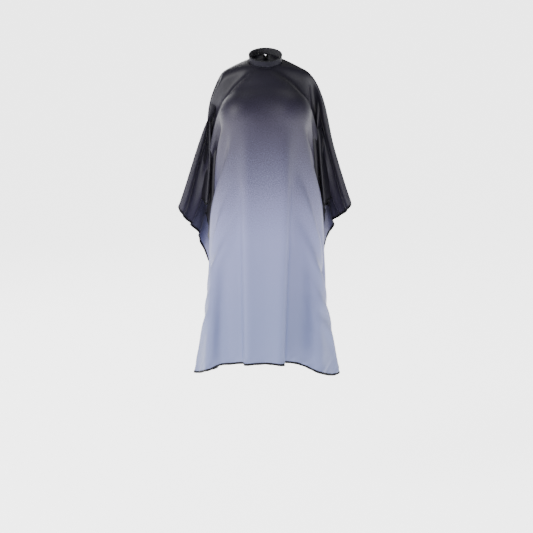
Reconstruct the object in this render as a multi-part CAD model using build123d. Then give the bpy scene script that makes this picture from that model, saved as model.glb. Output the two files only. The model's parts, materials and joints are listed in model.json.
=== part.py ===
"""Barber cape, closed round the neck and hanging in its folds.

Millimetres, +Z up, front towards -Y. The origin is the centre of the neckband's bore.
"""

import math
import os

from build123d import *

# ---- driving dimensions -------------------------------------------------------------------------

# Neckband: a ring of cloth layers that leans forward over the throat.
NECK_RADIUS = 58.0
BAND_HEIGHT = 25.0
BAND_TILT = 18.0
LINING_THICK = 0.8
INTERLINING_THICK = 0.8
OUTER_THICK = 1.0
PLY_GAP = 0.1
INTERLINING_MARGIN = 1.5
EDGE_TAPE_THICK = 0.5
EDGE_TAPE_LEG = 4.0

# Angles round the band, seen from above: 0 at the right shoulder, 90 at the centre of the back.
TAB_HINGE_ANGLE = 118.0
TAB_START_ANGLE = 117.0
TAB_END_ANGLE = 70.0
UNDERLAP_END_ANGLE = 114.0

# Closing tab: the free end of the band, lapped over the other end.
TAB_STANDOFF = 1.4
TAB_LINING_THICK = 0.7
TAB_OUTER_THICK = 0.9
TAB_HEIGHT = 22.0
TAB_CORNER_RADIUS = 8.0

# Press studs.
STUD_ANGLES = (96.0, 80.0, 64.0, 48.0, 32.0)
SOCKET_ANGLES = (96.0, 80.0)
STUD_BASE_RADIUS = 4.2
STUD_BASE_THICK = 0.5
STUD_HEAD_RADIUS = 2.1
STUD_HEAD_TOP = 1.5
STUD_NECK_RADIUS = 1.7
SOCKET_RADIUS = 4.6
SOCKET_CAVITY_RADIUS = 3.2
SOCKET_CAVITY_DEPTH = 0.9
SOCKET_THICK = 1.05
SOCKET_STANDOFF = 0.95
POST_RADIUS = 4.0
POST_THICK = 0.5
POST_BARREL_RADIUS = 1.0
CAP_RADIUS = 5.2
CAP_RIM_THICK = 0.4
CAP_DOME = 0.6
CAP_BARREL_RADIUS = 1.5
HOLE_CLEARANCE = 0.2

# Seam between the band and the cloth.
PIPING_RADIUS = 1.5
PIPING_RING_RADIUS = 62.6
PIPING_DROP = 14.3
PIPING_START_ANGLE = 95.0
PIPING_SWEEP = 350.0

# Care label, hanging inside the neck seam at the right shoulder.
LABEL_RADIUS = 60.5
LABEL_TOP = -16.3
LABEL_WIDTH = 22.0
LABEL_LENGTH = 32.0
LABEL_THICK = 0.8

# Cloth.
CLOTH_THICK = 3.0
CLOTH_NECK_RADIUS = 70.0
CLOTH_NECK_DROP = 16.0
BINDING_WIDTH = 8.0
SLIT_HALF_GAP = 3.0

# The cloth hangs in gores between fold lines. Each fold line of the right half is its angle on the
# neck ring and the points that it passes through on its way down: shoulder, bust, hip and edge.
FRONT_MIDDLE = (-90.0, [(0, -100, -95), (0, -158, -190), (0, -172, -560), (0, -182, -1085)])
BUST_FOLD = (-62.0, [(75, -92, -85), (108, -172, -185), (125, -190, -560), (135, -200, -1115)])
FRONT_FOLD = (-28.0, [(166, -24, -60), (182, -62, -190), (214, -50, -560), (284, -8, -1188)])
VALLEY = (-12.0, [(165, -2, -56), (158, -5, -190), (165, 10, -480), (205, 30, -780)])
SIDE_FOLD = (8.0, [(179, 14, -52), (222, 34, -190), (274, 50, -380), (320, 58, -560)])
BLADE_FOLD = (43.0, [(125, 70, -62), (162, 126, -190), (207, 190, -400), (236, 250, -660)])
BACK_MIDDLE = [(0, 82, -46), (0, 126, -150), (0, 158, -300), (0, 186, -462)]

# ---- derived dimensions -------------------------------------------------------------------------

HALF_BAND = BAND_HEIGHT / 2
LINING_OUTSIDE = NECK_RADIUS + LINING_THICK
INTERLINING_INSIDE = LINING_OUTSIDE + PLY_GAP
INTERLINING_OUTSIDE = INTERLINING_INSIDE + INTERLINING_THICK
OUTER_INSIDE = INTERLINING_OUTSIDE + PLY_GAP
OUTER_OUTSIDE = OUTER_INSIDE + OUTER_THICK
TAB_LINING_INSIDE = OUTER_OUTSIDE + TAB_STANDOFF
TAB_LINING_OUTSIDE = TAB_LINING_INSIDE + TAB_LINING_THICK
TAB_OUTER_INSIDE = TAB_LINING_OUTSIDE + PLY_GAP
TAB_OUTER_OUTSIDE = TAB_OUTER_INSIDE + TAB_OUTER_THICK
STUD_SEAT = OUTER_OUTSIDE + 0.05
POST_SEAT = INTERLINING_INSIDE + 0.05
SOCKET_SEAT = OUTER_OUTSIDE + SOCKET_STANDOFF
CAP_SEAT = TAB_OUTER_OUTSIDE + 0.05

BAND_FRAME = Rot(X=BAND_TILT)


# ---- neckband -----------------------------------------------------------------------------------


def arc_wall(inside, outside, low, high, start, end):
    """A curved wall about the band's axis, from one angle to another."""
    middle = Pos((inside + outside) / 2, (low + high) / 2)
    section = Plane.XZ * middle * Rectangle(outside - inside, high - low)
    wall = revolve(section, Axis.Z, revolution_arc=end - start)
    return Rot(Z=start) * wall


def radial_drill(radius, inside, outside, angle):
    """A round bar pointing straight out from the band's axis, used as a rivet or to cut its hole."""
    bar = Cylinder(radius, outside - inside, align=(Align.CENTER, Align.CENTER, Align.MIN))
    return Rot(Z=angle) * Pos(inside, 0, 0) * Rot(Y=90) * bar


def cut_holes(wall, radius, angles):
    """The wall with a round hole straight through it at each angle."""
    for angle in angles:
        wall = wall - radial_drill(radius, NECK_RADIUS, TAB_OUTER_OUTSIDE + 1, angle)
    return wall


def band_sweep():
    """Start and end angle of the band's own layers: all round but for the lap's small gap."""
    return TAB_HINGE_ANGLE - 360, UNDERLAP_END_ANGLE


def neckband_lining():
    start, end = band_sweep()
    return arc_wall(NECK_RADIUS, LINING_OUTSIDE, -HALF_BAND, HALF_BAND, start, end)


def neckband_interlining():
    start, end = band_sweep()
    half = HALF_BAND - INTERLINING_MARGIN
    wall = arc_wall(INTERLINING_INSIDE, INTERLINING_OUTSIDE, -half, half, start, end)
    return cut_holes(wall, POST_RADIUS + HOLE_CLEARANCE, STUD_ANGLES)


def neckband_outer():
    start, end = band_sweep()
    wall = arc_wall(OUTER_INSIDE, OUTER_OUTSIDE, -HALF_BAND, HALF_BAND, start, end)
    return cut_holes(wall, POST_BARREL_RADIUS + HOLE_CLEARANCE, STUD_ANGLES)


def neckband_edge_tape():
    """Tape turned over the band's top edge and down its outside."""
    start, end = band_sweep()
    tape_inside = OUTER_OUTSIDE + PLY_GAP
    tape_outside = tape_inside + EDGE_TAPE_THICK
    top_low = HALF_BAND + PLY_GAP
    top_high = top_low + EDGE_TAPE_THICK
    leg_low = HALF_BAND - EDGE_TAPE_LEG
    profile = Polyline(
        (NECK_RADIUS + PLY_GAP, 0, top_low),
        (tape_inside, 0, top_low),
        (tape_inside, 0, leg_low),
        (tape_outside, 0, leg_low),
        (tape_outside, 0, top_high),
        (NECK_RADIUS + PLY_GAP, 0, top_high),
        close=True,
    )
    tape = revolve(make_face(profile), Axis.Z, revolution_arc=end - start)
    return Rot(Z=start) * tape


def neck_piping():
    """Corded piping in the seam under the band, open at the slit."""
    section = Plane.XZ * Pos(PIPING_RING_RADIUS, -PIPING_DROP) * Circle(PIPING_RADIUS)
    ring = revolve(section, Axis.Z, revolution_arc=PIPING_SWEEP)
    return Rot(Z=PIPING_START_ANGLE) * ring


# ---- closing tab --------------------------------------------------------------------------------


def tab_layer(inside, outside):
    """One layer of the tab, with its free end rounded off."""
    half = TAB_HEIGHT / 2
    wall = arc_wall(inside, outside, -half, half, TAB_END_ANGLE, TAB_START_ANGLE)
    tip = Rot(Z=TAB_END_ANGLE) * Pos((inside + outside) / 2, 0, 0) * Box(4, 1, BAND_HEIGHT)
    corners = []
    for edge in wall.edges().filter_by(GeomType.LINE):
        near_tip = tip.distance_to(edge.center()) < 1.0
        radial = edge.length < 1.5 * (outside - inside)
        if near_tip and radial:
            corners.append(edge)
    return fillet(corners, TAB_CORNER_RADIUS)


def closing_tab_lining():
    layer = tab_layer(TAB_LINING_INSIDE, TAB_LINING_OUTSIDE)
    return cut_holes(layer, SOCKET_RADIUS + HOLE_CLEARANCE, SOCKET_ANGLES)


def closing_tab_outer():
    layer = tab_layer(TAB_OUTER_INSIDE, TAB_OUTER_OUTSIDE)
    return cut_holes(layer, CAP_BARREL_RADIUS + HOLE_CLEARANCE, SOCKET_ANGLES)


# ---- press studs --------------------------------------------------------------------------------


def turned_piece(outline, seat, angle):
    """A round piece turned from an outline of (radius, height) points, seated on the band."""
    points = [(radius, 0, height) for radius, height in outline]
    turned = revolve(make_face(Polyline(*points, close=True)), Axis.Z)
    return Rot(Z=angle) * Pos(seat, 0, 0) * Rot(Y=90) * turned


def snap_stud(angle):
    outline = [
        (0, 0),
        (STUD_BASE_RADIUS, 0),
        (STUD_BASE_RADIUS, STUD_BASE_THICK),
        (STUD_NECK_RADIUS, STUD_BASE_THICK + 0.1),
        (STUD_HEAD_RADIUS, STUD_HEAD_TOP - 0.5),
        (STUD_HEAD_RADIUS - 0.5, STUD_HEAD_TOP),
        (0, STUD_HEAD_TOP),
    ]
    return turned_piece(outline, STUD_SEAT, angle)


def snap_post(angle):
    barrel_top = STUD_SEAT - POST_SEAT
    outline = [
        (0, 0),
        (POST_RADIUS, 0),
        (POST_RADIUS, POST_THICK),
        (POST_BARREL_RADIUS, POST_THICK),
        (POST_BARREL_RADIUS, barrel_top),
        (0, barrel_top),
    ]
    return turned_piece(outline, POST_SEAT, angle)


def snap_socket(angle):
    outline = [
        (SOCKET_CAVITY_RADIUS, 0),
        (SOCKET_RADIUS, 0),
        (SOCKET_RADIUS, SOCKET_THICK),
        (0, SOCKET_THICK),
        (0, SOCKET_CAVITY_DEPTH),
        (SOCKET_CAVITY_RADIUS, SOCKET_CAVITY_DEPTH),
    ]
    return turned_piece(outline, SOCKET_SEAT, angle)


def snap_cap(angle):
    """Domed cap outside the tab, with its barrel down to the socket."""
    barrel_foot = SOCKET_SEAT + SOCKET_THICK - CAP_SEAT
    dome_steps = 6
    outline = [(0, barrel_foot), (CAP_BARREL_RADIUS, barrel_foot), (CAP_BARREL_RADIUS, 0)]
    outline.append((CAP_RADIUS, 0))
    for step in range(dome_steps + 1):
        turn = math.radians(90 * step / dome_steps)
        outline.append((CAP_RADIUS * math.cos(turn), CAP_RIM_THICK + CAP_DOME * math.sin(turn)))
    outline[-1] = (0, CAP_RIM_THICK + CAP_DOME)
    return turned_piece(outline, CAP_SEAT, angle)


def snap_group(make_piece, angles):
    """Several equal snap pieces as one group of separate solids."""
    return Compound(children=[BAND_FRAME * make_piece(angle) for angle in angles])


# ---- care label ---------------------------------------------------------------------------------


def care_label():
    label = Box(LABEL_THICK, LABEL_WIDTH, LABEL_LENGTH, align=(Align.CENTER, Align.CENTER, Align.MAX))
    label = fillet(label.edges().filter_by(Axis.X), 1.5)
    return Pos(LABEL_RADIUS, 0, LABEL_TOP) * label


# ---- cloth --------------------------------------------------------------------------------------


def neck_ring_point(angle):
    """Point on the cloth's neck edge, at an angle round the band."""
    turn = math.radians(angle)
    flat = Vector(CLOTH_NECK_RADIUS * math.cos(turn), CLOTH_NECK_RADIUS * math.sin(turn), -CLOTH_NECK_DROP)
    return flat.rotate(Axis.X, BAND_TILT)


def fold_line(angle, below):
    """A fold line's points from the neck edge down, with one more where the edge binding starts."""
    line = [neck_ring_point(angle)] + [Vector(*point) for point in below]
    rise = (line[-2] - line[-1]).normalized()
    return line[:-1] + [line[-1] + rise * BINDING_WIDTH, line[-1]]


def slit_line(offset):
    """A line down the back, at a distance beside the centre of the slit."""
    angle = 90 - math.degrees(math.asin(offset / CLOTH_NECK_RADIUS))
    return fold_line(angle, [(offset, y, z) for _, y, z in BACK_MIDDLE])


def mirrored(line):
    return [Vector(-point.X, point.Y, point.Z) for point in line]


def fold_lines():
    """Every fold line, from the slit's left edge round the front to its right edge."""
    right = [fold_line(*fold) for fold in (BUST_FOLD, FRONT_FOLD, VALLEY, SIDE_FOLD, BLADE_FOLD)]
    right.append(slit_line(SLIT_HALF_GAP + BINDING_WIDTH))
    right.append(slit_line(SLIT_HALF_GAP))
    left = [mirrored(line) for line in reversed(right)]
    return left + [fold_line(*FRONT_MIDDLE)] + right


def inner_surface(lines):
    """The same grid of points, one cloth thickness in from the outer surface."""
    inner = []
    last_line = len(lines) - 1
    last_row = len(lines[0]) - 1
    for i, line in enumerate(lines):
        before, after = lines[max(i - 1, 0)], lines[min(i + 1, last_line)]
        inner_line = []
        for j, point in enumerate(line):
            down = line[min(j + 1, last_row)] - line[max(j - 1, 0)]
            facets = [
                (point - before[j]).cross(down).normalized() if i > 0 else Vector(0, 0, 0),
                (after[j] - point).cross(down).normalized() if i < last_line else Vector(0, 0, 0),
            ]
            inward = (facets[0] + facets[1]).normalized()
            inner_line.append(point + inward * CLOTH_THICK)
        inner.append(inner_line)
    return inner


def sheet_solid(outer, inner, columns, rows):
    """Closed solid between the outer and inner grids, over a range of columns and of rows."""
    first_column, last_column = columns
    first_row, last_row = rows
    triangles = []

    def add_quad(a, b, c, d):
        triangles.append((a, b, c))
        triangles.append((a, c, d))

    for i in range(first_column, last_column):
        for j in range(first_row, last_row):
            add_quad(outer[i][j], outer[i][j + 1], outer[i + 1][j + 1], outer[i + 1][j])
            add_quad(inner[i][j], inner[i + 1][j], inner[i + 1][j + 1], inner[i][j + 1])
        for j, turned in ((first_row, False), (last_row, True)):
            rim = [outer[i][j], outer[i + 1][j], inner[i + 1][j], inner[i][j]]
            add_quad(*([rim[0]] + rim[:0:-1] if turned else rim))
    for j in range(first_row, last_row):
        for i, turned in ((first_column, True), (last_column, False)):
            rim = [outer[i][j], outer[i][j + 1], inner[i][j + 1], inner[i][j]]
            add_quad(*([rim[0]] + rim[:0:-1] if turned else rim))
    faces = [Face(Wire.make_polygon(triangle)) for triangle in triangles]
    return Solid(Shell(faces))


def cloth_pieces():
    """The cloth and the bindings on its edges, cut from one grid so that they meet face to face."""
    outer = fold_lines()
    inner = inner_surface(outer)
    last_column = len(outer) - 1
    last_row = len(outer[0]) - 1
    return {
        "cape_cloth": sheet_solid(outer, inner, (1, last_column - 1), (0, last_row - 1)),
        "edge_binding": sheet_solid(outer, inner, (1, last_column - 1), (last_row - 1, last_row)),
        "slit_binding_left": sheet_solid(outer, inner, (0, 1), (0, last_row)),
        "slit_binding_right": sheet_solid(outer, inner, (last_column - 1, last_column), (0, last_row)),
    }


# ---- the whole cape -----------------------------------------------------------------------------


def cape_pieces():
    pieces = {
        "neckband_lining": BAND_FRAME * neckband_lining(),
        "neckband_interlining": BAND_FRAME * neckband_interlining(),
        "neckband_outer": BAND_FRAME * neckband_outer(),
        "neckband_edge_tape": BAND_FRAME * neckband_edge_tape(),
        "neck_piping": BAND_FRAME * neck_piping(),
        "closing_tab_lining": BAND_FRAME * closing_tab_lining(),
        "closing_tab_outer": BAND_FRAME * closing_tab_outer(),
        "snap_studs": snap_group(snap_stud, STUD_ANGLES),
        "snap_posts": snap_group(snap_post, STUD_ANGLES),
        "snap_sockets": snap_group(snap_socket, SOCKET_ANGLES),
        "snap_caps": snap_group(snap_cap, SOCKET_ANGLES),
        "care_label": BAND_FRAME * care_label(),
    }
    pieces.update(cloth_pieces())
    return pieces


os.makedirs("parts", exist_ok=True)
for name, piece in cape_pieces().items():
    export_step(piece, f"parts/{name}.step")
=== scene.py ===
import json
import math

import bmesh
import bpy
import numpy as np
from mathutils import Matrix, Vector
from mathutils.bvhtree import BVHTree


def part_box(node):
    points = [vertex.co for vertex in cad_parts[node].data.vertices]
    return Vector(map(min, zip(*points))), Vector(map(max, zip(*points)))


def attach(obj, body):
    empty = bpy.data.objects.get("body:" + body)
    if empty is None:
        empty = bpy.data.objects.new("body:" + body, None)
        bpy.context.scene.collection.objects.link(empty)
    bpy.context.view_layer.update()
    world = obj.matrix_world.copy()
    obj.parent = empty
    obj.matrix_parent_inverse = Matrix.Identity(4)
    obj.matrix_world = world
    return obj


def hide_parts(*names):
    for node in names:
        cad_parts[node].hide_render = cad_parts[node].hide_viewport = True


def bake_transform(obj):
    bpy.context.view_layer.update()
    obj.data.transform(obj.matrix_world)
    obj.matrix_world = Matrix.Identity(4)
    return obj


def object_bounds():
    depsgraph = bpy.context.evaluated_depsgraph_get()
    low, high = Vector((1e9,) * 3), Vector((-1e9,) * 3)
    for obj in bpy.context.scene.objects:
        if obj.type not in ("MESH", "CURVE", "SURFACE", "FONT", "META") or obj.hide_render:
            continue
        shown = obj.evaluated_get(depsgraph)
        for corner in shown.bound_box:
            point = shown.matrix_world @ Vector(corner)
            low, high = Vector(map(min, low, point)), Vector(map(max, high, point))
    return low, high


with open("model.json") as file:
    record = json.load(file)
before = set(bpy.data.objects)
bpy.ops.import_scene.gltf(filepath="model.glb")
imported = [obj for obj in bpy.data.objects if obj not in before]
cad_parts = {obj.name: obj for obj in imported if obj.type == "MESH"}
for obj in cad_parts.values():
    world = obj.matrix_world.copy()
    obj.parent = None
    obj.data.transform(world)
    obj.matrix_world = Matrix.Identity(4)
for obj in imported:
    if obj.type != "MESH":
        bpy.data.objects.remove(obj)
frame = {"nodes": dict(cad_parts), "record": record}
CAD_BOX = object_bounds()

# Everything is in metres, in the CAD's frame: +Z up, front towards -Y, origin at the neck's centre.
MM = 0.001

# ---- sizes ----

# The neckband's lean comes from the neck mount's axis; its radii and height from the CAD nodes.
NECK_AXIS = frame["record"]["mounts"][0]["axis"]
TILT = math.atan2(-NECK_AXIS[1], NECK_AXIS[2])
HALF_BAND = 12.5 * MM
PIPING_RADIUS = 1.5 * MM
PIPING_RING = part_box("neck_piping")[1].x - PIPING_RADIUS
PIPING_DROP = 14.3 * MM
# where the band and the tab that laps over it start and end, in degrees from +X
BAND_END, BAND_START = 116.6, 118.0 - 360.0
TAB_END, TAB_START = 70.0, 117.0

# The cut of the cloth: one sheet with a neck hole, rounded front corners and a slit up the back.
CUT_WIDTH, CUT_LENGTH = 1.35, 1.61
FRONT_LENGTH = 1.152
BACK_LENGTH = CUT_LENGTH - FRONT_LENGTH
CORNER_RADIUS = 0.33
NECK_HOLE_RADIUS = PIPING_RING
CLOTH_THICK = 0.6 * MM
# the front hem is cut longer at its sides than in the middle
HEM_DROP, HEM_DROP_ALONG = 0.040, 0.42

# How the cloth falls. The front's folds are sections across it, as (across, depth) points from the
# middle outwards, at three rows of the cut. The sides fan out from the shoulder's end, which is
# SHOULDER_ALONG from the middle in the cut: for an angle in the cut, SIDE_FOLDS has how far a metre
# of cloth goes outwards and back. The back falls straight, further back the further down.
RIGHT, LEFT = 1, -1
SHOULDER_ALONG = 0.182
SHOULDER = np.array([0.168, 0.012, -0.062])
YOKE_ROW, BUST_ROW = 0.12, 0.30
YOKE_FOLDS = [(0, -.105), (.130, -.072), (.180, .002)]
BUST_FOLDS = {
    RIGHT: [(0, -.170), (.092, -.172), (.104, -.138), (.150, -.118), (.175, -.085), (.192, -.030)],
    LEFT: [(0, -.170), (.085, -.172), (.093, -.143), (.128, -.132), (.135, -.124), (.165, -.090),
           (.184, -.030)],
}
HEM_FOLDS = {
    RIGHT: [(0, -.185), (.065, -.200), (.074, -.105), (.130, -.080), (.205, -.115), (.283, .0)],
    LEFT: [(0, -.185), (.074, -.190), (.084, -.135), (.150, -.100), (.165, -.085), (.220, -.115),
           (.265, .005)],
}
SIDE_FOLDS = {
    RIGHT: [(12.8, .098, -.011), (18, .01, .08), (25, .05, .13), (34, .0, .20), (45, .10, .31),
            (58, .195, .19), (71, .294, .035), (88, .22, .29), (103, .10, .09), (120, .12, .36),
            (135, .05, .12), (150, .06, .34), (165, .04, .11), (180, .01, .29)],
    LEFT: [(11.4, .083, -.011), (17, .0, .08), (23, .05, .13), (31, .0, .20), (40, .085, .31),
           (53, .18, .19), (66, .289, .035), (84, .22, .29), (100, .10, .09), (118, .12, .36),
           (135, .05, .12), (150, .06, .34), (165, .04, .11), (180, .01, .29)],
}
BACK_ROW, BACK_DEPTH, BACK_SLOPE = 0.08, 0.070, 0.16
# how firmly the yoke (beyond YOKE_FREE), the front at the bust and the back follow their folds
YOKE_HOLD, FRONT_HOLD, BACK_HOLD = 0.4, 0.5, 0.3
YOKE_FREE = 0.10
# the front's hold reaches 1 an eighth of the way from the bust to the hem
FRONT_GROWTH = 4
# the sides follow theirs from SIDE_NEAR off the shoulder point, and wholly a little further out
SIDE_NEAR, SIDE_START, SIDE_FULL = 0.02, 0.01, 0.06
# the back is gathered a little in width, and the slit's edges stay this far from the middle
BACK_GATHER, SLIT_GAP = 0.97, 0.3 * MM


# ---- camera, lights and floor ----


def put(name, data):
    obj = bpy.data.objects.new(name, data)
    bpy.context.collection.objects.link(obj)
    return obj


CAMERA_PLACE, CAMERA_DOWN = (0.004, -6.34, 0.65), 12.73
LENS, SENSOR = 117.05, 36


def make_camera():
    data = bpy.data.cameras.new("camera")
    data.lens = LENS
    data.sensor_width = SENSOR
    camera = put("camera", data)
    camera.location = CAMERA_PLACE
    camera.rotation_euler = (math.radians(90 - CAMERA_DOWN), 0, 0)
    bpy.context.scene.camera = camera


def make_light(name, place, target, size, power, colour=(1, 1, 1)):
    data = bpy.data.lights.new(name, "AREA")
    data.shape = "RECTANGLE"
    data.size, data.size_y = size
    data.energy = power
    data.color = colour
    light = put(name, data)
    light.location = place
    light.rotation_euler = (Vector(target) - light.location).to_track_quat("-Z", "Y").to_euler()


def make_studio():
    middle = (0, 0, -0.55)
    make_light("key_light", (-3.6, -2.6, 1.4), middle, (1.6, 2.2), 215, (1, 0.99, 0.97))
    make_light("front_light", (-1.8, -3.8, 2.4), middle, (1.2, 1.2), 20)
    make_light("fill_light", (3.6, -1.6, 0.4), middle, (1.6, 2.4), 24, (0.95, 0.97, 1))
    make_light("top_light", (0.3, 0.6, 3.0), middle, (2.0, 2.0), 25)
    make_light("back_light", (-1.5, 3.4, 1.2), middle, (2.0, 2.0), 90)
    world = bpy.data.worlds.new("studio")
    bpy.context.scene.world = world
    world.use_nodes = True
    sky = world.node_tree.nodes["Background"]
    sky.inputs["Color"].default_value = (0.93, 0.94, 0.97, 1)
    sky.inputs["Strength"].default_value = 0.08


FLOOR_DROP, FLOOR_REACH, FLOOR_GLOW = 0.54, 150.0, 3.6


def make_floor():
    """A pale floor below the hem, at the height where a display form's wheels would stand."""
    level = CAD_BOX[0][2] - FLOOR_DROP
    mesh = bpy.data.meshes.new("floor")
    corners = [(x * FLOOR_REACH, y * FLOOR_REACH, level) for x, y in ((-1, -1), (1, -1), (1, 1), (-1, 1))]
    mesh.from_pydata(corners, [], [(0, 1, 2, 3)])
    floor = put("floor", mesh)
    paint = Painter("floor_paint", roughness=0.8)
    grain = paint.noise(scale=3.0, detail=3)
    paint.shade(grain, [(0.3, (0.80, 0.80, 0.81)), (0.7, (0.84, 0.84, 0.85))])
    paint.set("Emission Color", (1, 1, 1, 1))
    paint.set("Emission Strength", FLOOR_GLOW)
    mesh.materials.append(paint.material)


# ---- materials ----


class Painter:
    """A material that is built up node by node."""

    def __init__(self, name, roughness=0.5, metallic=0.0, sheen=0.0, specular=0.5):
        self.material = bpy.data.materials.new(name)
        self.material.use_nodes = True
        self.tree = self.material.node_tree
        self.shader = self.tree.nodes["Principled BSDF"]
        self.set("Roughness", roughness)
        self.set("Metallic", metallic)
        self.set("Sheen Weight", sheen)
        self.set("Sheen Roughness", 0.4)
        self.set("Specular IOR Level", specular)

    def set(self, key, value):
        self.feed(self.shader.inputs[key], value)

    def node(self, kind, **inputs):
        made = self.tree.nodes.new(kind)
        for key, value in inputs.items():
            self.feed(made.inputs[key.replace("_", " ")], value)
        return made

    def feed(self, socket, value):
        if isinstance(value, bpy.types.NodeSocket):
            self.tree.links.new(value, socket)
        else:
            socket.default_value = value

    def uv(self, stretch=(1, 1, 1)):
        source = self.tree.nodes.new("ShaderNodeUVMap")
        source.uv_map = "cut"
        scaled = self.node("ShaderNodeMapping", Vector=source.outputs["UV"], Scale=stretch)
        return scaled.outputs["Vector"]

    def maths(self, what, a, b=0.0, c=0.0):
        made = self.tree.nodes.new("ShaderNodeMath")
        made.operation = what
        for socket, value in zip(made.inputs, (a, b, c)):
            self.feed(socket, value)
        return made.outputs[0]

    def noise(self, scale, detail=2, vector=None):
        if vector is None:
            vector = self.node("ShaderNodeTexCoord").outputs["Object"]
        made = self.node("ShaderNodeTexNoise", Scale=scale, Detail=detail, Vector=vector)
        return made.outputs["Fac"]

    def threads(self, pitch, vector, across):
        # a wave repeats 20 times over 2 pi units at scale 1
        made = self.node("ShaderNodeTexWave", Scale=2 * math.pi / 20 / pitch, Vector=vector)
        made.bands_direction = across
        return made.outputs["Fac"]

    def shade(self, factor, stops):
        """Base colour from a ramp of (place, colour) stops."""
        made = self.node("ShaderNodeValToRGB", Fac=factor)
        band = made.color_ramp
        while len(band.elements) < len(stops):
            band.elements.new(0.5)
        for element, (place, colour) in zip(band.elements, stops):
            element.position = place
            element.color = (*colour, 1)
        self.set("Base Color", made.outputs["Color"])

    def bump(self, height, strength, distance):
        made = self.node("ShaderNodeBump", Height=height, Strength=strength, Distance=distance)
        self.set("Normal", made.outputs["Normal"])

    def weave(self, pitch, strength, vector, grain=None):
        """Bump of warp and weft threads, with an optional coarser grain under them."""
        warp, weft = self.threads(pitch, vector, "X"), self.threads(pitch, vector, "Y")
        height = self.maths("MULTIPLY", warp, weft)
        if grain is not None:
            height = self.maths("ADD", height, grain)
        self.bump(height, strength, 0.2 * MM)


def cape_fabric():
    """Satin polyester printed dark at the neck, breaking up into fine dots and fading to pale grey."""
    paint = Painter("cape_fabric", roughness=0.5, sheen=0.06, specular=0.32)
    cloth = paint.uv((CUT_LENGTH, CUT_LENGTH, 1))
    along = paint.node("ShaderNodeSeparateXYZ", Vector=cloth).outputs["Y"]
    down = paint.maths("SUBTRACT", along, BACK_LENGTH)
    dots = paint.noise(scale=260, detail=2, vector=cloth)
    clouds = paint.noise(scale=9, detail=3, vector=cloth)
    speckle = paint.maths("MULTIPLY_ADD", dots, 0.30, -0.15)
    drift = paint.maths("MULTIPLY_ADD", clouds, 0.04, -0.02)
    place = paint.maths("ADD", paint.maths("ADD", down, speckle), drift)
    stops = [
        (0.06, (0.006, 0.005, 0.011)),
        (0.18, (0.011, 0.009, 0.019)),
        (0.28, (0.026, 0.022, 0.042)),
        (0.37, (0.037, 0.034, 0.065)),
        (0.46, (0.064, 0.063, 0.118)),
        (0.56, (0.118, 0.121, 0.225)),
        (0.68, (0.160, 0.173, 0.325)),
        (1.00, (0.138, 0.162, 0.305)),
    ]
    paint.shade(place, stops)
    paint.set("Roughness", paint.maths("MULTIPLY_ADD", clouds, 0.10, 0.44))
    paint.weave(0.55 * MM, 0.25, cloth)
    return paint.material


def tape_fabric():
    """Black woven tape with ribs across it."""
    paint = Painter("binding_tape", roughness=0.62, sheen=0.02, specular=0.10)
    along = paint.uv()
    wear = paint.noise(scale=60, detail=3)
    paint.shade(wear, [(0.35, (0.004, 0.004, 0.006)), (0.75, (0.011, 0.011, 0.014))])
    paint.bump(paint.threads(0.9 * MM, along, "X"), 0.5, 0.15 * MM)
    return paint.material


def band_satin():
    """Black satin with a soft sheen along the band."""
    paint = Painter("band_satin", roughness=0.5, sheen=0.0, specular=0.07)
    along = paint.uv()
    streaks = paint.noise(scale=120, detail=3, vector=paint.uv((0.25, 3, 1)))
    paint.shade(streaks, [(0.3, (0.006, 0.006, 0.010)), (0.7, (0.014, 0.013, 0.021))])
    paint.set("Roughness", paint.maths("MULTIPLY_ADD", streaks, 0.18, 0.34))
    paint.weave(0.45 * MM, 0.15, along)
    return paint.material


def matt_fabric(name, dark, light, pitch):
    """A matt cloth whose colour drifts between two shades."""
    paint = Painter(name, roughness=0.85, sheen=0.2, specular=0.25)
    drift = paint.noise(scale=80, detail=4)
    paint.shade(drift, [(0.3, dark), (0.7, light)])
    paint.weave(pitch, 0.5, paint.uv(), paint.noise(scale=900, detail=1))
    return paint.material


def stitch_thread():
    paint = Painter("stitch_thread", roughness=0.5, sheen=0.2)
    twist = paint.noise(scale=1500, detail=1)
    paint.shade(twist, [(0.3, (0.014, 0.014, 0.018)), (0.7, (0.045, 0.044, 0.054))])
    return paint.material


def snap_metal():
    """Plated metal with faint brush marks and a duller patina."""
    paint = Painter("snap_metal", roughness=0.25, metallic=1.0)
    marks = paint.noise(scale=700, detail=4)
    paint.shade(marks, [(0.35, (0.42, 0.42, 0.44)), (0.65, (0.60, 0.60, 0.62))])
    paint.set("Roughness", paint.maths("MULTIPLY_ADD", marks, 0.25, 0.15))
    paint.bump(marks, 0.15, 0.05 * MM)
    return paint.material


# ---- mesh helpers ----


def add_mesh(name, points, faces, material, uvs=None):
    """A smooth mesh object. uvs gives one (across, along) pair for each point."""
    mesh = bpy.data.meshes.new(name)
    mesh.from_pydata([tuple(map(float, p)) for p in points], [], [tuple(map(int, f)) for f in faces])
    if uvs is not None:
        layer = mesh.uv_layers.new(name="cut")
        index = np.empty(len(mesh.loops), int)
        mesh.loops.foreach_get("vertex_index", index)
        layer.data.foreach_set("uv", np.asarray(uvs, float)[index].ravel())
    mesh.polygons.foreach_set("use_smooth", [True] * len(mesh.polygons))
    mesh.materials.append(material)
    return put(name, mesh)


def apply_modifiers(obj):
    """The object's mesh as its modifiers leave it, with none left on it."""
    bpy.context.view_layer.update()
    graph = bpy.context.evaluated_depsgraph_get()
    final = bpy.data.meshes.new_from_object(obj.evaluated_get(graph))
    old = obj.data
    obj.modifiers.clear()
    obj.data = final
    bpy.data.meshes.remove(old)


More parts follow.
